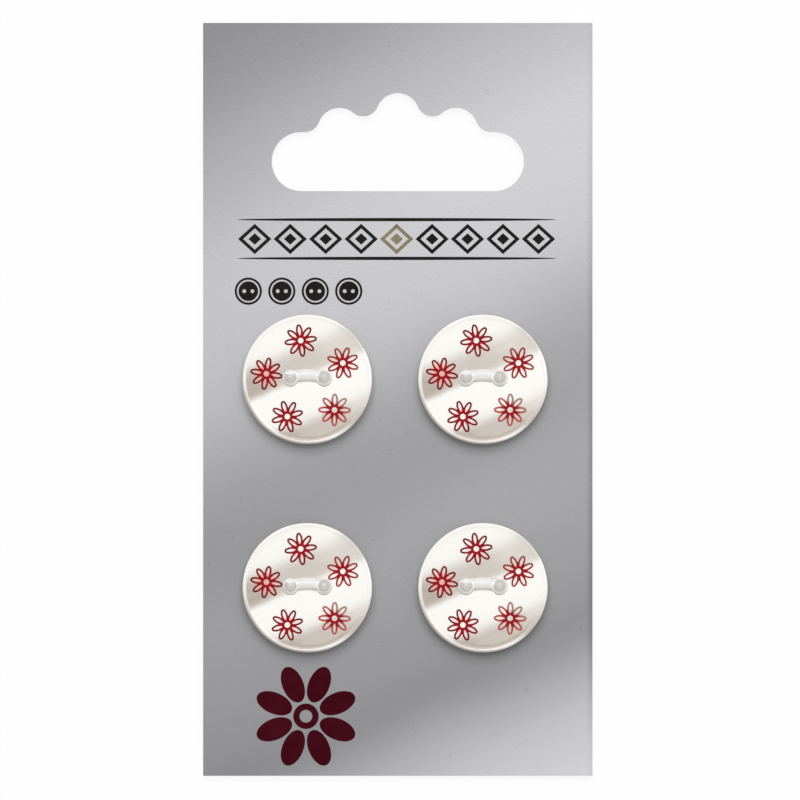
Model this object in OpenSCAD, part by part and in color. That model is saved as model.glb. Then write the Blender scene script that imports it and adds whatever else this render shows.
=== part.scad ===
// Card of two-hole pearl buttons: a die-cut hanging card that carries a block of
// buttons with engraved, lacquer-filled daisies, each held by a clear plastic staple.
// The card lies on its back: X runs to the right, Y up the card and Z out of its face.
// The origin is on the surface that the card lies on, under the middle of the card.

/* [Card] */
// Width of the card
card_w = 50; // [46:0.5:60]
// Height of the card
card_h = 96.7; // [92:0.1:120]
// Thickness of the board
card_t = 0.5; // [0.3:0.05:1]

/* [Hang slot] */
// Overall width of the slot
slot_w = 32.4; // [31:0.1:34]
// From the card's top edge down to the slot's straight lower edge
slot_drop = 21.6; // [18:0.1:26]
// Radius of the slot's round ends
slot_end_r = 3.8; // [3.4:0.1:4.2]
// Radius of the three scallops along the top
scallop_r = 2.8; // [2.4:0.1:3.2]
// From the slot's middle to the middle of a side scallop
side_scallop_x = 7.5; // [7:0.1:8.4]
// Top of a side scallop above the lower edge
side_scallop_top = 10.7; // [9.5:0.1:11.5]
// Top of the middle scallop above the lower edge
middle_scallop_top = 12.6; // [11.5:0.1:14]
// Radius of the rounded points between the scallops
scallop_point_r = 2; // [1.6:0.1:2.4]

/* [Button places] */
// Distance between the two columns of buttons
column_pitch = 22.5; // [20:0.1:28]
// Distance between the two rows of buttons
row_pitch = 26.7; // [20:0.1:32]
// Shift of the columns from the middle of the card
column_shift = -0.35; // [-1:0.05:1]
// From the card's top edge down to the staples of the upper row
first_row_drop = 45.6; // [42:0.1:50]

/* [Button] */
// Diameter of a button
button_d = 16.6; // [15.6:0.1:18]
// Thickness of a button at its lip
button_t = 2.4; // [2:0.1:3.5]
// Radius of the bead that forms the lip
lip_r = 0.2; // [0.15:0.05:0.3]
// Height of the lip above the flat face
lip_rise = 0.1; // [0.06:0.02:0.16]
// Radius of the cove that leads from the flat face up to the lip
cove_r = 1.6; // [1.2:0.1:2]
// Radius of the edge round the back
back_edge_r = 0.8; // [0.4:0.1:1.2]
// Diameter of a sewing hole
hole_d = 1.6; // [1.4:0.1:1.8]
// Distance between the two sewing holes
hole_pitch = 4.3; // [3.8:0.1:4.4]
// Width of the bevel round a sewing hole
hole_bevel = 0.15; // [0.05:0.05:0.2]

/* [Flowers] */
// Number of flowers round a button
flower_count = 5; // [3:1:6]
// Direction of the first flower, in degrees from X
flower_start = 26; // [0:1:72]
// Radius of a flower as drawn, out to the tips of its petals, before it is fitted to its room
flower_r = 2.1; // [2:0.02:2.2]
// From a petal's tip to the edge of the button, before the ring is shifted
flower_edge_gap = 1; // [0.8:0.05:1.2]
// Shift of the ring of flowers across the button
flower_shift_x = -0.12; // [-0.2:0.01:0.2]
// Shift of the ring of flowers up the button
flower_shift_y = -0.17; // [-0.2:0.01:0.2]
// Number of petals in a flower
petal_count = 8; // [6:1:8]
// Length of the open middle of a petal
petal_l = 1.18; // [1.08:0.02:1.2]
// Width of the open middle of a petal
petal_w = 0.38; // [0.32:0.02:0.42]
// Radius of the two ends of the open middle of a petal
petal_end_r = 0.07; // [0.05:0.01:0.12]
// Width of the engraved line round a petal
line_w = 0.24; // [0.16:0.02:0.26]
// Radius of the open eye of a flower
eye_r = 0.36; // [0.3:0.02:0.4]
// Radius of the engraved middle, which fills the spaces where the petals meet
hub_r = 1.2; // [1.1:0.02:1.3]
// Depth of the engraving
groove_depth = 0.12; // [0.06:0.02:0.2]
// How far the lacquer lies below the face
lacquer_drop = 0.03; // [0.01:0.01:0.04]

/* [Staple] */
// Diameter of a leg
leg_d = 1.1; // [0.8:0.05:1.2]
// Room round a leg in its hole in the card, on each side
leg_room = 0.1; // [0.05:0.05:0.2]
// Room left between a leg and the edge of its sewing hole, where the button hangs down
hang_room = 0.05; // [0.02:0.01:0.1]
// Room between the staple's head and the face of the button
head_room = 0.05; // [0.02:0.01:0.2]
// Width of the bridge across the button
bridge_w = 1.6; // [1.2:0.05:1.7]
// Height of the bridge
bridge_h = 0.6; // [0.45:0.05:0.65]
// How far the middle of the bridge is bowed up the card
bridge_bow = 0.37; // [0.2:0.01:0.6]
// How far the round knob at an end of the bridge covers the face round its hole
knob_cover = 0.1; // [0.05:0.05:0.2]
// Height of a knob
knob_h = 0.72; // [0.7:0.02:0.9]
// Length of a cross bar behind the card
bar_l = 5; // [4:0.1:7]
// Width of a cross bar
bar_w = 1.2; // [1.1:0.05:1.4]
// Height of a cross bar
bar_h = 0.8; // [0.6:0.05:1]
// Radius along the edges of a cross bar
bar_edge_r = 0.25; // [0.15:0.05:0.3]

/* [Hidden] */
$fn = 64;
// Small overlap where arcs flow into one another
eps = 0.002;
// How far a cutting tool runs past a face
past = 1;

PLACES = ["top_left", "top_right", "bottom_left", "bottom_right"];

// Heights of the stack, from the resting surface up
card_back_z = bar_h;
card_front_z = card_back_z + card_t;
face_t = button_t - lip_rise;
face_z = card_front_z + face_t;

// Middle of each staple on the card, in the order of PLACES
column_x = [column_shift - column_pitch / 2, column_shift + column_pitch / 2];
row_y = [card_h / 2 - first_row_drop, card_h / 2 - first_row_drop - row_pitch];
staple_xy = [for (y = row_y) for (x = column_x) [x, y]];

button_r = button_d / 2;
hole_r = hole_d / 2;
bevel_r = hole_r + hole_bevel;

// Room for a flower from a hole's bevel to the edge gap, and how far the flower's openings are
// spread to fill it, with the engraved lines at their own width
flower_room = button_r - flower_edge_gap - hole_pitch / 2 - bevel_r;
flower_fit = (flower_room / 2 - line_w) / (flower_r - line_w);
flower_pitch_r = button_r - flower_edge_gap - flower_room / 2;

// How far a button hangs below the middle of its staple
hang_drop = hole_r - leg_d / 2 - hang_room;

// Radius of the arc over a chord of half length c that rises by h
function arc_radius(c, h) = (c * c + h * h) / (2 * h);

// Point at distance a from p and b from q, to the left of the way from p to q
function meeting_point(p, a, q, b) =
    let (
        span = norm(q - p),
        u = (q - p) / span,
        along = (a * a - b * b + span * span) / (2 * span),
        aside = sqrt(a * a - along * along)
    )
    p + along * u + aside * [-u[1], u[0]];

function mirrored(p) = [-p[0], p[1]];

// Moves its children to the middle of one staple, at height z
module at_staple(i, z) {
    translate([staple_xy[i][0], staple_xy[i][1], z]) children();
}

// Moves its children to the middle of one button, which hangs on its staple's legs
module at_button(i, z) {
    at_staple(i, z) translate([0, -hang_drop, 0]) children();
}

// Copies its children to both sewing holes or both legs of a button or staple at the origin
module at_holes() {
    for (side = [-1, 1])
        translate([side * hole_pitch / 2, 0, 0]) children();
}

// Outline of the hang slot, with its straight lower edge on Y = 0
module slot_outline() {
    end = [slot_end_r - slot_w / 2, slot_end_r];
    side = [-side_scallop_x, side_scallop_top - scallop_r];
    middle = [0, middle_scallop_top - scallop_r];
    end_reach = slot_end_r + scallop_point_r - eps;
    scallop_reach = scallop_r + scallop_point_r - eps;
    outer_point = meeting_point(end, end_reach, side, scallop_reach);
    inner_point = meeting_point(side, scallop_reach, middle, scallop_reach);
    left = [[end[0], 0], end, outer_point, side, inner_point];
    difference() {
        polygon(concat(left, [middle], [for (i = [len(left) - 1 : -1 : 0]) mirrored(left[i])]));
        for (p = [outer_point, inner_point, mirrored(inner_point), mirrored(outer_point)])
            translate(p) circle(scallop_point_r);
    }
    for (p = [end, mirrored(end)])
        translate(p) circle(slot_end_r);
    for (p = [side, middle, mirrored(side)])
        translate(p) circle(scallop_r);
}

// The board, with its hang slot and the punched holes for the staple legs
module card() {
    color([0.68, 0.68, 0.69])
    translate([0, 0, card_back_z])
    difference() {
        translate([-card_w / 2, -card_h / 2, 0]) cube([card_w, card_h, card_t]);
        translate([0, card_h / 2 - slot_drop, -past])
            linear_extrude(card_t + 2 * past) slot_outline();
        for (i = [0 : len(PLACES) - 1])
            at_staple(i, -past) at_holes()
                cylinder(d = leg_d + 2 * leg_room, h = card_t + 2 * past);
    }
}

// Half section of a button: flat back with a round edge, and a flat face that sweeps up
// through a cove to a beaded lip
module button_section() {
    lip = [button_r - lip_r, button_t - lip_r];
    cove_z = face_t + cove_r;
    reach = cove_r + lip_r - eps;
    cove = [lip[0] - sqrt(pow(reach, 2) - pow(cove_z - lip[1], 2)), cove_z];
    square([button_r - back_edge_r, face_t]);
    translate([0, back_edge_r]) square([button_r, lip[1] - back_edge_r]);
    translate([button_r - back_edge_r, back_edge_r]) circle(back_edge_r);
    translate(lip) circle(lip_r);
    difference() {
        polygon([[0, lip[1]], lip, cove, [cove[0], face_t], [0, face_t]]);
        translate(cove) circle(cove_r);
    }
}

// One sewing hole, bevelled at the face and at the back
module sewing_hole() {
    translate([0, 0, -past]) cylinder(r = hole_r, h = face_t + 2 * past);
    cylinder(r1 = bevel_r, r2 = hole_r, h = hole_bevel);
    translate([0, 0, face_t - hole_bevel]) cylinder(r1 = hole_r, r2 = bevel_r, h = hole_bevel);
}

// Oval along X of two side arcs that flow into two end arcs, grown all round by a margin
module oval(length, width, end_r, margin = 0) {
    end_x = length / 2 - end_r;
    side_r = (pow(end_x, 2) + pow(width / 2, 2) - pow(end_r, 2)) / (width - 2 * end_r);
    side_y = side_r - width / 2;
    touch_x = end_x * (side_r + margin) / (side_r - end_r);
    intersection() {
        translate([0, side_y]) circle(side_r + margin);
        translate([0, -side_y]) circle(side_r + margin);
        square([2 * touch_x, 2 * side_r], center = true);
    }
    for (turn = [0, 180])
        rotate(turn) translate([-end_x, 0]) circle(end_r + margin + eps);
}

// A petal's open middle, or its outer edge with the width of a line as margin
module petal(margin) {
    oval(flower_fit * petal_l, flower_fit * petal_w, flower_fit * petal_end_r, margin);
}

// Copies its children to the petals of a flower at the origin, pointing out along X
module at_petals() {
    for (k = [0 : petal_count - 1])
        rotate(k * 360 / petal_count)
            translate([flower_fit * (flower_r - line_w - petal_l / 2), 0]) children();
}

// Engraved lines of one daisy: outlined petals round an open eye
module flower() {
    difference() {
        union() {
            circle(flower_fit * hub_r);
            at_petals() petal(line_w);
        }
        circle(flower_fit * eye_r);
        at_petals() petal(0);
    }
}

// The ring of daisies on a button, as prisms of one height
module flower_ring(height) {
    for (k = [0 : flower_count - 1])
        translate([flower_shift_x, flower_shift_y, 0])
            rotate(flower_start + k * 360 / flower_count) translate([flower_pitch_r, 0, 0])
                linear_extrude(height) flower();
}

// One pearl button, with its back on Z = 0
module button() {
    color([0.95, 0.94, 0.91])
    difference() {
        rotate_extrude() button_section();
        at_holes() sewing_hole();
        translate([0, 0, face_t - groove_depth]) flower_ring(groove_depth + past);
    }
}

// The red lacquer that fills a button's engraving, seated on the floor of the grooves
module flowers() {
    color([0.62, 0.04, 0.1])
    translate([0, 0, face_t - groove_depth]) flower_ring(groove_depth - lacquer_drop);
}

// Low dome or ridge section: the part above Y = 0 of a circle, w wide and h high
module domed_section(w, h) {
    r = arc_radius(w / 2, h);
    intersection() {
        translate([0, h - r]) circle(r);
        translate([-w / 2, 0]) square([w, h]);
    }
}

// Bridge of a staple, bowed up the card between the two holes, with its flat side on Z = 0
module bridge() {
    bow_r = arc_radius(hole_pitch / 2, bridge_bow);
    half_angle = asin(hole_pitch / 2 / bow_r);
    translate([0, bridge_bow - bow_r, 0])
        rotate_extrude(angle = 2 * half_angle, start = 90 - half_angle)
            translate([bow_r, 0]) domed_section(bridge_w, bridge_h);
}

// Domed knob over a sewing hole, with its flat side on Z = 0
module knob() {
    knob_r = bevel_r + knob_cover;
    rotate_extrude() intersection() {
        domed_section(2 * knob_r, knob_h);
        square([knob_r, knob_h]);
    }
}

// Cross bar behind the card: round-ended in plan, with rounded long edges
module cross_bar() {
    straight_l = bar_l - bar_w;
    intersection() {
        linear_extrude(bar_h) {
            square([bar_w, straight_l], center = true);
            for (end = [-1, 1])
                translate([0, end * straight_l / 2]) circle(d = bar_w);
        }
        rotate([90, 0, 0]) translate([0, bar_h / 2, -bar_l / 2])
            linear_extrude(bar_l) {
                square([bar_w - 2 * bar_edge_r, bar_h], center = true);
                square([bar_w, bar_h - 2 * bar_edge_r], center = true);
                for (x = [-1, 1]) for (y = [-1, 1])
                    translate([x * (bar_w / 2 - bar_edge_r), y * (bar_h / 2 - bar_edge_r)])
                        circle(bar_edge_r);
            }
    }
}

// One clear staple: bridge and knobs close over the button's face, legs down through the
// button and the card, and a cross bar under each leg
module staple() {
    head_z = face_z + head_room;
    leg_top = head_z + bridge_h / 2;
    leg_bottom = bar_h / 2;
    color([0.9, 0.93, 0.95, 0.6]) {
        translate([0, 0, head_z]) bridge();
        at_holes() {
            translate([0, 0, head_z]) knob();
            translate([0, 0, leg_bottom]) cylinder(d = leg_d, h = leg_top - leg_bottom);
            cross_bar();
        }
    }
}

card();
for (i = [0 : len(PLACES) - 1]) {
    at_button(i, card_front_z) button();
    at_button(i, card_front_z) flowers();
    at_staple(i, 0) staple();
}
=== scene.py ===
"""Dress a card of pearl buttons and set it in a plain studio.

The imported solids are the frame. They stay where they are and get their finishes here: a silver
printed board, polished pearl, red lacquer and clear plastic. The print on the board is modelled
as thin films of ink. Sizes are in millimetres unless a name ends in _m, and Y runs up the card.
"""

from __future__ import annotations

import logging
import math
from dataclasses import dataclass
from enum import Enum
from typing import Any

import bmesh
import bpy
from mathutils import Matrix, Vector

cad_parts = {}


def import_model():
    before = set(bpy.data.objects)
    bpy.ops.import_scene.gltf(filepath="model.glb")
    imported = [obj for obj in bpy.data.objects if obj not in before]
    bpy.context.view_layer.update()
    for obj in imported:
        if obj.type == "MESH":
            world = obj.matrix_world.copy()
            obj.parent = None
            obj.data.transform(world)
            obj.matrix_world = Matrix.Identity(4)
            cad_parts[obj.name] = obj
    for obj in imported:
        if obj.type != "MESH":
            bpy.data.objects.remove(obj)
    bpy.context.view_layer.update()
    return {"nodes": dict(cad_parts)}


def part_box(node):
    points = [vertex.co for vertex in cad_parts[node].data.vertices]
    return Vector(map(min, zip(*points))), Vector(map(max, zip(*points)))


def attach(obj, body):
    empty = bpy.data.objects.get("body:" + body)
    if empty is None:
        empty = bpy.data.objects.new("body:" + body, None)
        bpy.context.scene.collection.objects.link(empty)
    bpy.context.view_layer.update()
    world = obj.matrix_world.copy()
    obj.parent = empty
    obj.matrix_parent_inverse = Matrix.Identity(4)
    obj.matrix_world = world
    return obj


LOG = logging.getLogger("card_of_buttons")
MM = 0.001
ROOT = "root"

Colour = tuple[float, float, float]
Point = tuple[float, float]
Position = tuple[float, float, float]
Stops = tuple[tuple[float, float], ...]


def screen(red: int, green: int, blue: int) -> Colour:
    """Turn a colour as a screen shows it into the linear colour that a shader takes.

    Args:
        red: Red from 0 to 255.
        green: Green from 0 to 255.
        blue: Blue from 0 to 255.

    Returns:
        The linear colour.
    """
    parts = (part / 255 for part in (red, green, blue))
    return tuple(p / 12.92 if p <= 0.04045 else ((p + 0.055) / 1.055) ** 2.4 for p in parts)


class Signal:
    """A shader socket that can be used in Python sums."""

    def __init__(self, sheet: Sheet, socket: bpy.types.NodeSocket) -> None:
        """Keep the socket and the sheet that it belongs to."""
        self.sheet = sheet
        self.socket = socket

    def maths(self, operation: str, *values: Any) -> Signal:
        """Add one Math node.

        Args:
            operation: Blender's name of the operation.
            values: What goes into the node, in order.

        Returns:
            The node's result.
        """
        node = self.sheet.node("ShaderNodeMath", {"operation": operation}, dict(enumerate(values)))
        return Signal(self.sheet, node.outputs[0])

    def __add__(self, other: Any) -> Signal:
        """Add a value."""
        return self.maths("ADD", self, other)

    __radd__ = __add__

    def __sub__(self, other: Any) -> Signal:
        """Take a value away."""
        return self.maths("SUBTRACT", self, other)

    def __rsub__(self, other: Any) -> Signal:
        """Take this away from a value."""
        return self.maths("SUBTRACT", other, self)

    def __mul__(self, other: Any) -> Signal:
        """Multiply by a value."""
        return self.maths("MULTIPLY", self, other)

    def __truediv__(self, other: Any) -> Signal:
        """Divide by a value."""
        return self.maths("DIVIDE", self, other)

    def __pow__(self, other: Any) -> Signal:
        """Raise to a power."""
        return self.maths("POWER", self, other)

    def sine(self) -> Signal:
        """Sine of an angle in radians."""
        return self.maths("SINE", self)

    def cosine(self) -> Signal:
        """Cosine of an angle in radians."""
        return self.maths("COSINE", self)

    def smooth(self, start: float, end: float) -> Signal:
        """Rise softly from 0 at start to 1 at end.

        Args:
            start: Value at which the result is 0.
            end: Value at which the result is 1, above or below start.

        Returns:
            The soft step.
        """
        low, high = sorted((start, end))
        span = {"Value": self, "From Min": low, "From Max": high}
        node = self.sheet.node("ShaderNodeMapRange", {"interpolation_type": "SMOOTHSTEP"}, span)
        rise = Signal(self.sheet, node.outputs[0])
        return rise if start < end else 1 - rise


def length(across: Signal, up: Signal) -> Signal:
    """Distance of a point from the middle of its pattern."""
    return (across * across + up * up) ** 0.5


@dataclass(frozen=True)
class Place:
    """Where a point lies on its piece, in millimetres, as one vector and as its parts."""

    vector: Signal
    x: Signal
    y: Signal
    z: Signal


class Sheet:
    """The shader nodes of one material, or of the world."""

    def __init__(self, owner: bpy.types.Material | bpy.types.World) -> None:
        """Start with no nodes.

        Args:
            owner: The material or the world that the nodes belong to.
        """
        owner.use_nodes = True
        self.owner = owner
        self.tree = owner.node_tree
        self.tree.nodes.clear()

    @classmethod
    def named(cls, name: str) -> Sheet:
        """Start the sheet of a new material."""
        return cls(bpy.data.materials.new(name))

    def node(
        self, kind: str, settings: dict[str, Any] | None = None, sockets: dict[Any, Any] | None = None
    ) -> bpy.types.Node:
        """Add one node.

        Args:
            kind: Blender's name of the node's type.
            settings: The node's own settings; stops are a ramp's places and colours.
            sockets: Values or signals for the inputs, by name or number.

        Returns:
            The node.
        """
        made = self.tree.nodes.new(kind)
        for name, value in (settings or {}).items():
            if name == "stops":
                self._set_stops(made.color_ramp, value)
            else:
                setattr(made, name, value)
        for key, value in (sockets or {}).items():
            socket = made.inputs[key]
            if isinstance(value, Signal):
                self.tree.links.new(value.socket, socket)
            else:
                socket.default_value = (*value, 1.0) if socket.type == "RGBA" else value
        return made

    @staticmethod
    def _set_stops(ramp: bpy.types.ColorRamp, stops: Stops) -> None:
        """Give a ramp its grey stops, with a smooth run from one to the next."""
        ramp.interpolation = "B_SPLINE"
        while len(ramp.elements) < len(stops):
            ramp.elements.new(1.0)
        for element, (place, grey) in zip(ramp.elements, stops):
            element.position = place
            element.color = (grey, grey, grey, 1.0)

    def place(self, centre: Point = (0.0, 0.0)) -> Place:
        """Read where a point lies, from a centre on the card.

        Args:
            centre: The centre, in millimetres in the card's frame.

        Returns:
            The place.
        """
        spot = self.node("ShaderNodeTexCoord").outputs["Object"]
        sockets = {
            "Vector": Signal(self, spot),
            "Location": (-centre[0], -centre[1], 0.0),
            "Scale": (1 / MM, 1 / MM, 1 / MM),
        }
        vector = Signal(self, self.node("ShaderNodeMapping", None, sockets).outputs[0])
        parts = self.node("ShaderNodeSeparateXYZ", None, {0: vector}).outputs
        return Place(vector, *(Signal(self, part) for part in parts))

    def vector(self, x: Any, y: Any, z: Any = 0.0) -> Signal:
        """Join three values into one vector."""
        return Signal(self, self.node("ShaderNodeCombineXYZ", None, {0: x, 1: y, 2: z}).outputs[0])

    def noise(self, vector: Signal, per_mm: float, detail: float = 2.0) -> Signal:
        """Read soft noise between about 0 and 1.

        Args:
            vector: Where to read it.
            per_mm: How many lumps there are to a millimetre.
            detail: How many finer layers are added.

        Returns:
            The noise.
        """
        sockets = {"Vector": vector, "Scale": per_mm, "Detail": detail}
        return Signal(self, self.node("ShaderNodeTexNoise", None, sockets).outputs[0])

    def ramp(self, value: Signal, stops: Stops) -> Signal:
        """Follow a row of stops.

        Args:
            value: Where on the row to read.
            stops: Places in the value's own unit, in rising order, and the level at each.

        Returns:
            The level.
        """
        start, end = stops[0][0], stops[-1][0]
        shares = tuple(((place - start) / (end - start), level) for place, level in stops)
        along = (value - start) / (end - start)
        node = self.node("ShaderNodeValToRGB", {"stops": shares}, {0: along})
        return Signal(self, node.outputs[0])

    def blend(self, amount: Any, low: Any, high: Any, mode: str = "MIX") -> Signal:
        """Mix two colours.

        Args:
            amount: Share of the second colour.
            low: Colour or signal at 0.
            high: Colour or signal at 1.
            mode: Blender's name of the way to mix.

        Returns:
            The mixed colour.
        """
        settings = {"data_type": "RGBA", "blend_type": mode, "clamp_factor": True}
        mixed = self.node("ShaderNodeMix", settings, {0: amount, 6: low, 7: high})
        return Signal(self, mixed.outputs[2])

    def bump(self, height: Signal, depth: float) -> Signal:
        """Turn heights into a surface direction.

        Args:
            height: Heights between 0 and 1.
            depth: What a height of 1 stands for, in millimetres.

        Returns:
            The direction, for a Normal socket.
        """
        sockets = {"Height": height, "Distance": depth * MM, "Strength": 1.0}
        return Signal(self, self.node("ShaderNodeBump", None, sockets).outputs[0])

    def surface(self, sockets: dict[str, Any]) -> bpy.types.Material:
        """Close the material with one Principled surface.

        Args:
            sockets: Values or signals of the surface.

        Returns:
            The material.
        """
        skin = self.node("ShaderNodeBsdfPrincipled", None, sockets)
        return self.close(Signal(self, skin.outputs[0]))

    def close(self, surface: Signal) -> bpy.types.Material:
        """Join a surface to the material's output."""
        self.node("ShaderNodeOutputMaterial", None, {"Surface": surface})
        return self.owner


@dataclass(frozen=True)
class SilverBoard:
    """Board with a satin silver print on its front, a bare paper edge and a plain back.

    The front's silver runs in soft light and dark bands that lean across the card and fade to the
    left.
    Painted shade darkens its right edge, which is slightly curled over, and a painted shadow follows
    its left edge as a thin dark line.
    """

    back_z: float
    front_z: float
    left_x: float
    right_x: float
    lean: float = 0.46
    bands: Stops = (
        (-60.0, 0.177),
        (-50.0, 0.242),
        (-43.0, 0.329),
        (-35.0, 0.390),
        (-27.0, 0.480),
        (-18.0, 0.457),
        (-11.0, 0.443),
        (-4.0, 0.351),
        (3.0, 0.274),
        (11.0, 0.256),
        (19.0, 0.303),
        (28.0, 0.262),
        (35.0, 0.243),
        (40.0, 0.194),
        (45.0, 0.318),
        (51.0, 0.430),
        (60.0, 0.551),
    )
    fade: Stops = ((-25.0, 0.87), (-12.0, 0.93), (0.0, 0.96), (12.0, 1.0), (25.0, 0.99))
    roll_shade: Stops = (
        (-49.0, 0.05),
        (-40.0, 0.12),
        (-25.0, 0.44),
        (-8.0, 0.30),
        (6.0, 0.30),
        (20.0, 0.20),
        (49.0, 0.05),
    )
    wander: float = 2.0
    roll_shade_w: float = 0.95
    edge_shadow_w: float = 0.2
    edge_shadow_depth: float = 0.06
    edge_shadow_top_depth: float = 0.24
    skin: float = 0.03
    print_metal: float = 0.2
    print_rough: float = 0.42
    paper_rough: float = 0.75
    fibre_depth: float = 0.012
    grain_depth: float = 0.06
    speck_depth: float = 0.12
    screen_depth: float = 0.09
    screen_pitch: float = 0.26
    tone: Colour = (1.082, 1.077, 1.111)
    paper: Colour = screen(226, 224, 218)
    back: Colour = screen(206, 204, 198)

    def material(self) -> bpy.types.Material:
        """Build the board's material.

        Returns:
            The material.
        """
        sheet = Sheet.named("silver_board")
        at = sheet.place()
        wander = (sheet.noise(at.vector, 0.05) - 0.5) * self.wander
        grey = sheet.ramp(at.x * self.lean - at.y + wander, self.bands) * sheet.ramp(at.x, self.fade)
        # Painted shade along the right edge, which is slightly curled over.
        edge = (self.right_x - at.x).smooth(self.roll_shade_w, 0.0) * sheet.ramp(at.y, self.roll_shade)
        # Painted shadow: a thin dark line along the left edge, deeper towards the top.
        deep = self.edge_shadow_depth + at.y.smooth(20.0, 40.0) * self.edge_shadow_top_depth
        line = (at.x - self.left_x).smooth(self.edge_shadow_w, 0.0) * deep
        grey = grey * (1 - edge) * (1 - line) * self._grain(sheet, at)
        front = sheet.blend(1.0, self.tone, grey, "MULTIPLY")
        fibres = sheet.noise(at.vector, 2.5, 5.0)
        plain = sheet.blend(fibres, self.back, self.paper)
        on_front = at.z.smooth(self.front_z - self.skin, self.front_z - self.skin / 3)
        on_back = at.z.smooth(self.back_z + self.skin, self.back_z + self.skin / 3)
        bare = sheet.blend(on_back, self.paper, plain)
        return sheet.surface(
            {
                "Base Color": sheet.blend(on_front, bare, front),
                "Metallic": on_front * self.print_metal,
                "Roughness": self.paper_rough - on_front * (self.paper_rough - self.print_rough),
                "Normal": sheet.bump(fibres, self.fibre_depth),
            }
        )

    def _grain(self, sheet: Sheet, at: Place) -> Signal:
        """Fine grain, specks and patches where the print screen shows, as a grey to multiply by."""
        fine = sheet.noise(at.vector, 3.2, 3.0) - 0.5
        specks = sheet.noise(at.vector, 1.3, 0.0).smooth(0.80, 0.86)
        turn = math.tau / self.screen_pitch
        dots = ((at.x + at.y) * turn).sine() * ((at.x - at.y) * turn).sine()
        patch = sheet.noise(at.vector, 0.5, 0.0).smooth(0.62, 0.74) * at.x.smooth(10.0, -10.0)
        grain = 1 + fine * self.grain_depth - specks * self.speck_depth
        return grain + dots * patch * self.screen_depth


@dataclass(frozen=True)
class Daisies:
    """Where the daisies lie on a button, for the finishes that follow them."""

    count: int = 5
    start: float = math.radians(26)
    pitch_r: float = 5.2
    shift: Point = (-0.12, -0.17)
    reach: float = 2.15
    soft: float = 0.2

    def local(self, at: Place) -> tuple[Signal, Signal]:
        """Fold the ring of daisies onto one daisy.

        Args:
            at: Place from the middle of the button.

        Returns:
            Distances from the middle of the nearest daisy, outwards and sideways.
        """
        sector = math.tau / self.count
        x, y = at.x - self.shift[0], at.y - self.shift[1]
        turn = y.maths("ARCTAN2", y, x) - (self.start - sector / 2)
        turn = turn.maths("FLOORED_MODULO", turn, sector) - sector / 2
        out = length(x, y)
        return out * turn.cosine() - self.pitch_r, out * turn.sine()

    def centre(self, index: int) -> Point:
        """Middle of one daisy, from the middle of the button."""
        turn = self.start + index * math.tau / self.count
        x, y = self.shift
        return x + self.pitch_r * math.cos(turn), y + self.pitch_r * math.sin(turn)

    def over(self, at: Place, index: int) -> Signal:
        """1 on one daisy and 0 on the others, with a soft edge."""
        x, y = self.centre(index)
        return length(at.x - x, at.y - y).smooth(self.reach + self.soft, self.reach)


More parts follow.
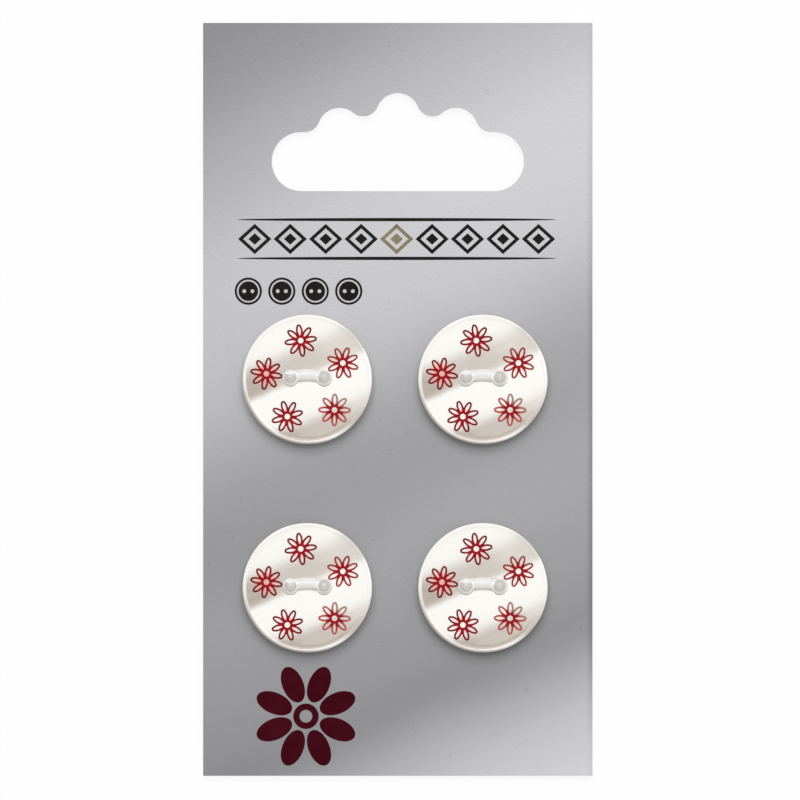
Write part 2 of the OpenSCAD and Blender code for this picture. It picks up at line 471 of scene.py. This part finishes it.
@dataclass(frozen=True)
class Pearl:
    """Polished pearl, with leaning bands of white and taupe nacre round one button's middle.

    The lower lip carries a painted highlight between painted shade in the cove and on the rim, and
    the lacquer has stained the pearl round the daisies.
    """

    centre: Point
    daisies: Daisies
    lean: float = 0.437
    bands: Stops = (
        (-9.0, 0.84),
        (-7.5, 0.84),
        (-6.4, 0.80),
        (-5.6, 0.66),
        (-5.0, 0.28),
        (-4.2, 0.04),
        (-3.0, 0.0),
        (-0.4, 0.0),
        (0.2, 0.0),
        (0.7, 0.55),
        (1.2, 0.74),
        (2.6, 0.74),
        (3.5, 0.68),
        (4.3, 0.50),
        (5.0, 0.22),
        (5.8, 0.04),
        (7.0, 0.02),
        (7.8, 0.04),
        (9.0, 0.02),
    )
    wander: float = 0.9
    depth: float = 0.95
    left_depth: float = 0.4
    right_fade: float = 0.2
    low_right_fade: float = 0.08
    cove_in: float = 7.2
    lip_in: float = 7.75
    lip_out: float = 7.95
    rim_shade_in: float = 7.75
    rim_shade_out: float = 8.15
    cove_shade: float = 0.3
    lip_highlight_share: float = 0.95
    growth_depth: float = 0.36
    growth_tint: float = 0.05
    growth_height: float = 0.006
    petal_stain: float = 0.36
    flush_stain: float = 0.5
    white: Colour = screen(253, 251, 245)
    taupe: Colour = screen(184, 172, 161)
    flushed_daisy: int = 2
    stain: Colour = screen(255, 170, 158)

    def material(self) -> bpy.types.Material:
        """Build the pearl of one button.

        Returns:
            The material.
        """
        sheet = Sheet.named("pearl")
        at = sheet.place(self.centre)
        across = at.y - at.x * self.lean
        along = at.x + at.y * self.lean
        wander = (sheet.noise(at.vector, 0.3) - 0.5) * self.wander
        growth = sheet.noise(sheet.vector(across * 2.0, along * 0.25, at.z), 1.0, 3.0)
        figure = sheet.ramp(across + wander, self.bands)
        left, right = along.smooth(-2.5, -6.5), along.smooth(2.0, 6.0)
        low_right = along.smooth(1.5, 5.0) * across.smooth(-2.0, -4.0)
        depth = self.depth + left * self.left_depth + (growth - 0.5) * self.growth_depth
        depth = depth - right * self.right_fade - low_right * self.low_right_fade
        out_r = length(at.x, at.y)
        # Painted shade in the cove inside the lower lip.
        cove = out_r.smooth(self.cove_in, self.lip_in - 0.1) * (at.y - at.x * 0.1).smooth(-3.0, -7.0)
        # Painted highlight on the lip at the bottom and left.
        lip = out_r.smooth(self.lip_in, self.lip_out) * (at.x * 0.7 + at.y).smooth(0.0, -6.0)
        # Painted shade on the lower rim.
        rim = out_r.smooth(self.rim_shade_in, self.rim_shade_out) * (at.x * 0.5 + at.y * 0.87).smooth(-3.0, -8.0)
        share = (figure * depth + cove * self.cove_shade) * (1 - lip * self.lip_highlight_share)
        share = share + (growth - 0.5) * self.growth_tint + rim
        nacre = sheet.blend(share, self.white, self.taupe)
        out, side = self.daisies.local(at)
        from_eye = length(out, side)
        on_petals = from_eye.smooth(0.15, 0.55) * self.petal_stain
        flush = self.daisies.over(at, self.flushed_daisy) * self.flush_stain
        stain = from_eye.smooth(self.daisies.reach - 0.1, 0.4) * (on_petals + flush)
        return sheet.surface(
            {
                "Base Color": sheet.blend(stain, nacre, self.stain),
                "Roughness": 0.2 + growth * 0.12,
                "Specular IOR Level": 0.35,
                "Coat Weight": 0.25,
                "Coat Roughness": 0.06,
                "Subsurface Weight": 0.08,
                "Subsurface Radius": (1.0, 0.8, 0.6),
                "Subsurface Scale": 0.6 * MM,
                "Normal": sheet.bump(growth, self.growth_height),
            }
        )


@dataclass(frozen=True)
class RedLacquer:
    """Lacquer in the engraving: crimson where it pools, maroon in the thin lines.

    The maroon is partly the lacquer's colour and partly painted shade of the groove walls. The petals
    of two daisies are faint, and one of these is worn as well.
    """

    centre: Point
    daisies: Daisies
    worn_daisy: int = 4
    worn_way: float = math.radians(66)
    worn_share: float = 0.85
    thin_in: float = 0.8
    thin_out: float = 1.7
    thin_share: float = 0.85
    cloud_share: float = 0.8
    cloud_height: float = 0.01
    faint_daisies: tuple[tuple[int, float], ...] = ((4, 0.65), (0, 0.35))
    crimson: Colour = screen(148, 0, 18)
    maroon: Colour = screen(108, 2, 14)
    rose: Colour = screen(206, 104, 98)
    bare: Colour = screen(158, 136, 128)

    def material(self) -> bpy.types.Material:
        """Build the lacquer of one button.

        Returns:
            The material.
        """
        sheet = Sheet.named("red_lacquer")
        at = sheet.place(self.centre)
        out, side = self.daisies.local(at)
        thin = length(out, side).smooth(self.thin_in, self.thin_out)
        cloud = sheet.noise(at.vector, 0.8)
        # The maroon of the thin lines is partly the lacquer's colour and partly painted shade of the
        # groove walls.
        dark = thin * self.thin_share + (cloud - 0.5) * self.cloud_share
        red = sheet.blend(dark, self.crimson, self.maroon)
        faint = thin * sum(self.daisies.over(at, index) * share for index, share in self.faint_daisies)
        red = sheet.blend(faint, red, self.rose)
        worn_x, worn_y = self.daisies.centre(self.worn_daisy)
        toward = (at.x - worn_x) * math.cos(self.worn_way) + (at.y - worn_y) * math.sin(self.worn_way)
        worn = toward.smooth(0.6, 1.2) * self.daisies.over(at, self.worn_daisy) * self.worn_share
        return sheet.surface(
            {
                "Base Color": sheet.blend(worn, red, self.bare),
                "Roughness": 0.45 + worn * 0.2,
                "Specular IOR Level": 0.12,
                "Normal": sheet.bump(cloud, self.cloud_height),
            }
        )


@dataclass(frozen=True)
class ClearPlastic:
    """Milky clear plastic of one staple, with painted shade and a painted highlight.

    The shade lies over the button's holes and along the lower edge, and the highlight on the left
    knob.
    """

    centre: Point
    face_z: float
    leg_x: float = 2.15
    disc_r: float = 0.88
    disc_lift: float = 0.1
    knob_r: float = 1.05
    tint: Colour = screen(255, 253, 250)
    shade: Colour = screen(206, 204, 199)
    opacity: float = 0.76
    knob_opacity: float = 0.15
    cloudiness: float = 0.2
    edge_shade_grey: float = 0.6
    glint_at: Point = (-2.25, 0.8)

    def material(self) -> bpy.types.Material:
        """Build the plastic of one staple.

        Returns:
            The material.
        """
        sheet = Sheet.named("clear_plastic")
        at = sheet.place(self.centre)
        cloud = sheet.noise(at.vector, 0.9)
        aside = at.x.maths("ABSOLUTE", at.x)
        from_leg = length(aside - self.leg_x, at.y)
        from_disc = length(aside - self.leg_x, at.y - self.disc_lift)
        above_face = at.z.smooth(self.face_z - 0.1, self.face_z)
        # Painted shade: the dark hole seen through the knob.
        hole_shade = from_disc.smooth(self.disc_r, self.disc_r - 0.2) * above_face
        on_knob = from_leg.smooth(self.knob_r + 0.1, self.knob_r - 0.1)
        glint_x, glint_y = self.glint_at
        # Painted highlight on the left knob.
        glint = length((at.x - glint_x) * 0.6, (at.y - glint_y) * 1.4).smooth(0.6, 0.4)
        # Painted shade along the lower edge of the bar.
        low_edge_shade = at.y.smooth(-0.2, -0.45) * (1 - on_knob)
        grey = hole_shade * (1 - glint) + low_edge_shade * self.edge_shade_grey
        return sheet.surface(
            {
                "Base Color": sheet.blend(grey, self.tint, self.shade),
                "Roughness": 0.12 + cloud * 0.1,
                "IOR": 1.46,
                "Specular IOR Level": 0.3,
                "Alpha": self.opacity + on_knob * self.knob_opacity + (cloud - 0.5) * self.cloudiness,
            }
        )


class Ink(Enum):
    """The inks of the print: name, deep colour, light colour, share of metal and roughness."""

    CHARCOAL = ("charcoal_ink", screen(26, 24, 22), screen(36, 34, 32), 0.0, 0.7)
    MAROON = ("maroon_ink", screen(58, 4, 16), screen(72, 12, 26), 0.0, 0.7)
    GOLD = ("gold_foil", screen(92, 83, 64), screen(150, 138, 112), 0.1, 0.6)

    def material(self) -> bpy.types.Material:
        """Build the ink.

        Returns:
            The material.
        """
        name, deep, light, metal, rough = self.value
        sheet = Sheet.named(name)
        at = sheet.place()
        cloud = sheet.noise(at.vector, 0.3).smooth(0.3, 0.7)
        grain = sheet.noise(at.vector, 4.0, 3.0)
        return sheet.surface(
            {
                "Base Color": sheet.blend(cloud * 0.6 + grain * 0.4, deep, light),
                "Metallic": metal,
                "Roughness": rough + (grain - 0.5) * 0.15,
                "Specular IOR Level": 0.03,
            }
        )


class InkFilm:
    """A flat figure of ink, drawn with a few loops and raised to a thin film on the card."""

    film: float = 0.012
    sunk: float = 0.02

    def __init__(self, name: str, ink: Ink) -> None:
        """Start an empty figure."""
        self.name = name
        self.ink = ink
        self.mesh = bmesh.new()

    def loop(
        self, centre: Point, width: float, height: float, turn: float = 0.0, sides: int = 64
    ) -> list[bmesh.types.BMEdge]:
        """Draw one closed loop: an ellipse, or a lozenge where it has 4 sides.

        Args:
            centre: Middle of the loop.
            width: Width of the loop before it is turned.
            height: Height of the loop before it is turned.
            turn: How far the loop is turned, in radians.
            sides: Number of sides.

        Returns:
            The loop's edges.
        """
        size = Matrix.Diagonal((width / 2, height / 2, 1.0, 1.0))
        place = Matrix.Translation((*centre, 0.0)) @ Matrix.Rotation(turn, 4, "Z") @ size
        made = bmesh.ops.create_circle(self.mesh, segments=sides, radius=1.0, matrix=place)
        return list({edge for vert in made["verts"] for edge in vert.link_edges})

    def fill(self, outline: list[bmesh.types.BMEdge], *gaps: list[bmesh.types.BMEdge]) -> None:
        """Fill an outline, apart from the gaps inside it."""
        edges = [edge for loop in (outline, *gaps) for edge in loop]
        bmesh.ops.triangle_fill(self.mesh, use_beauty=True, edges=edges)

    def lay(self, face_z: float) -> bpy.types.Object:
        """Raise the figure to a film and lay it on the card.

        Args:
            face_z: Height of the card's face.

        Returns:
            The finished piece.
        """
        grown = bmesh.ops.extrude_face_region(self.mesh, geom=self.mesh.faces[:])
        raised = [part for part in grown["geom"] if isinstance(part, bmesh.types.BMVert)]
        bmesh.ops.translate(self.mesh, verts=raised, vec=(0.0, 0.0, self.film + self.sunk))
        bmesh.ops.recalc_face_normals(self.mesh, faces=self.mesh.faces[:])
        bmesh.ops.translate(self.mesh, verts=self.mesh.verts[:], vec=(0.0, 0.0, face_z - self.sunk))
        bmesh.ops.scale(self.mesh, verts=self.mesh.verts[:], vec=(MM, MM, MM))
        data = bpy.data.meshes.new(self.name)
        self.mesh.to_mesh(data)
        self.mesh.free()
        piece = bpy.data.objects.new(self.name, data)
        bpy.context.scene.collection.objects.link(piece)
        data.materials.append(self.ink.material())
        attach(piece, ROOT)
        return piece


@dataclass(frozen=True)
class CardPrint:
    """The figures printed on the card: a lozenge border, a row of small buttons and a large daisy."""

    face_z: float
    border_centre: Point = (-0.15, 20.6)
    border_w: float = 41.0
    border_h: float = 5.4
    rule_h: float = 0.42
    lozenges: int = 9
    lozenge_h: float = 3.9
    lozenge_w_share: float = 0.94
    lozenge_open_share: float = 0.7
    lozenge_core_share: float = 0.38
    row_start: Point = (-19.2, 13.9)
    row_pitch: float = 4.3
    row_count: int = 4
    dot_d: float = 3.5
    dot_rim_share: float = 0.84
    dot_face_share: float = 0.72
    dot_hole_share: float = 0.14
    dot_hole_x_share: float = 0.15
    daisy_centre: Point = (-11.8, -40.7)
    daisy_r: float = 6.8
    daisy_petals: int = 8
    daisy_eye_share: float = 0.24
    daisy_ring_share: float = 0.48
    daisy_gap_share: float = 0.05
    daisy_petal_share: float = 0.4

    def build(self) -> list[bpy.types.Object]:
        """Make every printed figure.

        Returns:
            The pieces.
        """
        films = (self._border(), self._border_middle(), self._button_row(), self._daisy())
        return [film.lay(self.face_z) for film in films]

    def _lozenge(self, film: InkFilm, index: int) -> None:
        """Draw one open lozenge of the border, with a small solid one inside it."""
        pitch = self.border_w / self.lozenges
        x = self.border_centre[0] + (index - (self.lozenges - 1) / 2) * pitch
        spot = (x, self.border_centre[1])
        wide, high = pitch * self.lozenge_w_share, self.lozenge_h
        outline, opening, core = (
            film.loop(spot, wide * share, high * share, sides=4)
            for share in (1.0, self.lozenge_open_share, self.lozenge_core_share)
        )
        film.fill(outline, opening)
        film.fill(core)

    def _border(self) -> InkFilm:
        """Draw the border's rules and all its lozenges but the middle one."""
        film = InkFilm("print_border", Ink.CHARCOAL)
        x, y = self.border_centre
        for side in (-1, 1):
            rule_y = y + side * (self.border_h - self.rule_h) / 2
            film.fill(film.loop((x, rule_y), self.border_w, self.rule_h))
        for index in range(self.lozenges):
            if index != self.lozenges // 2:
                self._lozenge(film, index)
        return film

    def _border_middle(self) -> InkFilm:
        """Draw the gold lozenge in the middle of the border."""
        film = InkFilm("print_border_middle", Ink.GOLD)
        self._lozenge(film, self.lozenges // 2)
        return film

    def _button_row(self) -> InkFilm:
        """Draw the row of small two-hole buttons."""
        film = InkFilm("print_button_row", Ink.CHARCOAL)
        x, y = self.row_start
        rim_d, face_d = self.dot_d * self.dot_rim_share, self.dot_d * self.dot_face_share
        hole_d, hole_x = self.dot_d * self.dot_hole_share, self.dot_d * self.dot_hole_x_share
        for index in range(self.row_count):
            spot = (x + index * self.row_pitch, y)
            film.fill(film.loop(spot, self.dot_d, self.dot_d), film.loop(spot, rim_d, rim_d))
            holes = [film.loop((spot[0] + side * hole_x, y), hole_d, hole_d) for side in (-1, 1)]
            film.fill(film.loop(spot, face_d, face_d), *holes)
        return film

    def _daisy(self) -> InkFilm:
        """Draw the large daisy."""
        film = InkFilm("print_daisy", Ink.MAROON)
        x, y = self.daisy_centre
        eye_d, ring_d = self.daisy_r * self.daisy_eye_share, self.daisy_r * self.daisy_ring_share
        ring, eye = (film.loop(self.daisy_centre, across, across) for across in (ring_d, eye_d))
        film.fill(ring, eye)
        near = ring_d / 2 + self.daisy_r * self.daisy_gap_share
        middle_r = (near + self.daisy_r) / 2
        petal_l, petal_w = self.daisy_r - near, self.daisy_r * self.daisy_petal_share
        for index in range(self.daisy_petals):
            turn = (index + 0.5) * math.tau / self.daisy_petals
            spot = (x + middle_r * math.cos(turn), y + middle_r * math.sin(turn))
            film.fill(film.loop(spot, petal_l, petal_w, turn))
        return film


class Spot(Enum):
    """The places of the buttons, as they stand in the names of the solids."""

    TOP_LEFT = "top_left"
    TOP_RIGHT = "top_right"
    BOTTOM_LEFT = "bottom_left"
    BOTTOM_RIGHT = "bottom_right"


def dress(piece: bpy.types.Object, material: bpy.types.Material) -> None:
    """Give a solid one finish all over."""
    piece.data.materials.clear()
    piece.data.materials.append(material)


@dataclass(frozen=True)
class CarriedButton:
    """One pearl button with its lacquered daisies and its staple."""

    spot: Spot
    nodes: dict[str, bpy.types.Object]

    @staticmethod
    def centre(node: str) -> Point:
        """Middle of one solid in the card's frame."""
        low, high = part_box(node)
        middle = (low + high) / 2 / MM
        return middle.x, middle.y

    def dress(self) -> None:
        """Give the button, its daisies and its staple their finishes."""
        daisies = Daisies()
        kinds = ("button", "flowers", "staple")
        button, flowers, staple = (f"{kind}_{self.spot.value}" for kind in kinds)
        face_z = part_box(flowers)[1].z / MM
        dress(self.nodes[button], Pearl(self.centre(button), daisies).material())
        dress(self.nodes[flowers], RedLacquer(self.centre(button), daisies).material())
        dress(self.nodes[staple], ClearPlastic(self.centre(staple), face_z).material())


@dataclass(frozen=True)
class Studio:
    """A white table under soft light, seen from straight above."""

    face_z: float
    view_w: float = 102.75
    view_x: float = 0.28
    view_y: float = -0.08
    camera_m: float = 1.0
    clip_m: float = 20.0
    sensor: float = 36.0
    floor_m: float = 3.0
    floor_glow: float = 0.88
    floor_white: Colour = (0.93, 0.93, 0.93)
    sky_light: float = 0.56
    key_watts: float = 19.1
    key_at_m: Position = (0.0, 0.75, 1.6)
    key_size_m: float = 1.1
    fill_watts: float = 0.5
    fill_at_m: Position = (0.5, -0.3, 0.6)
    fill_size_m: float = 0.5

    def build(self) -> None:
        """Set up the floor, the sky, the lights and the camera."""
        scene = bpy.context.scene
        scene.view_settings.view_transform = "Standard"
        self._floor()
        self._sky(scene)
        self._light("key", self.key_at_m, self.key_size_m, self.key_watts)
        self._light("fill", self.fill_at_m, self.fill_size_m, self.fill_watts)
        self._camera(scene)

    @staticmethod
    def _seen(sheet: Sheet) -> Signal:
        """1 for what the camera sees itself, in a gloss or through glass, and 0 for light."""
        rays = sheet.node("ShaderNodeLightPath").outputs
        kinds = ("Camera", "Glossy", "Transmission")
        camera, gloss, glass = (Signal(sheet, rays[f"Is {kind} Ray"]) for kind in kinds)
        either = camera.maths("MAXIMUM", camera, gloss)
        return either.maths("MAXIMUM", either, glass)

    def _floor(self) -> None:
        """Lay a white floor that keeps the card's shadow."""
        mesh = bmesh.new()
        bmesh.ops.create_grid(mesh, x_segments=1, y_segments=1, size=self.floor_m)
        data = bpy.data.meshes.new("floor")
        mesh.to_mesh(data)
        mesh.free()
        floor = bpy.data.objects.new("floor", data)
        bpy.context.scene.collection.objects.link(floor)
        sheet = Sheet.named("white_floor")
        matt = sheet.node("ShaderNodeBsdfDiffuse", None, {"Color": self.floor_white})
        glow = sheet.node("ShaderNodeEmission", None, {"Strength": 1.0})
        share = self._seen(sheet) * self.floor_glow
        shaders = {0: share, 1: Signal(sheet, matt.outputs[0]), 2: Signal(sheet, glow.outputs[0])}
        both = sheet.node("ShaderNodeMixShader", None, shaders)
        data.materials.append(sheet.close(Signal(sheet, both.outputs[0])))

    def _sky(self, scene: bpy.types.Scene) -> None:
        """Set an even sky that looks white and lights softly."""
        world = bpy.data.worlds.new("studio")
        scene.world = world
        sheet = Sheet(world)
        strength = self.sky_light + self._seen(sheet) * (1 - self.sky_light)
        sky = sheet.node("ShaderNodeBackground", None, {"Strength": strength})
        sheet.node("ShaderNodeOutputWorld", None, {"Surface": Signal(sheet, sky.outputs[0])})

    def _light(self, name: str, at_m: Position, size_m: float, watts: float) -> None:
        """Hang one soft light that faces the middle of the card."""
        data = bpy.data.lights.new(name, "AREA")
        data.size = size_m
        data.energy = watts
        light = bpy.data.objects.new(name, data)
        light.location = at_m
        light.rotation_euler = (-Vector(at_m)).to_track_quat("-Z", "Y").to_euler()
        bpy.context.scene.collection.objects.link(light)

    def _camera(self, scene: bpy.types.Scene) -> None:
        """Hang a long-lens camera over the card."""
        data = bpy.data.cameras.new("camera")
        data.sensor_width = self.sensor
        data.lens = self.sensor * self.camera_m / (self.view_w * MM)
        data.clip_end = self.clip_m
        camera = bpy.data.objects.new("camera", data)
        camera.location = (self.view_x * MM, self.view_y * MM, self.face_z * MM + self.camera_m)
        scene.collection.objects.link(camera)
        scene.camera = camera


def main() -> None:
    """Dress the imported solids, add the print and set up the studio."""
    logging.basicConfig(level=logging.INFO, format="%(message)s")
    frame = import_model()
    nodes = frame["nodes"]
    low, high = (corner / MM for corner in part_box("card"))
    dress(nodes["card"], SilverBoard(low.z, high.z, low.x, high.x).material())
    LOG.info("card dressed")
    for spot in Spot:
        CarriedButton(spot, nodes).dress()
        LOG.info("button %s dressed", spot.value)
    for piece in CardPrint(high.z).build():
        LOG.info("%s: %d faces", piece.name, len(piece.data.polygons))
    Studio(high.z).build()
    bpy.context.view_layer.update()


if __name__ == "__main__":
    main()
